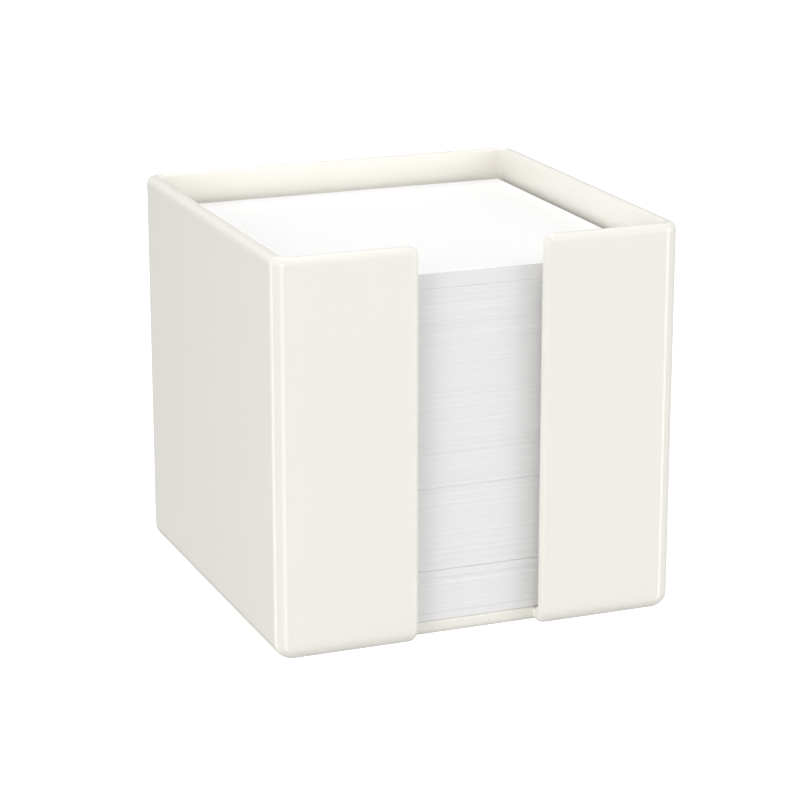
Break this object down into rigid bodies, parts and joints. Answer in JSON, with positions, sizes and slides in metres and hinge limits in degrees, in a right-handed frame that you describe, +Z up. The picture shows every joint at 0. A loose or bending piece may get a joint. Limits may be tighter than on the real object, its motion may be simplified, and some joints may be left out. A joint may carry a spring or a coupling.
{
  "type": "note box",
  "caption": "Open square desk box of moulded plastic with a full-height slot in its front wall, filled with a stack of loose square note sheets.",
  "frame": {"origin": "middle of the underside, on the desk", "axes": "+Z up to the open top, -Y towards the slot in the front wall, +X to the right seen from the front"},
  "size_m": [0.1, 0.1, 0.095],
  "materials": {
    "ivory_plastic": "satin moulded plastic, warm white",
    "note_paper": "uncoated white paper with cut edges"
  },
  "bodies": {
    "root": {"box": "ivory_plastic", "paper_stack": "note_paper"}
  },
  "joints": []
}
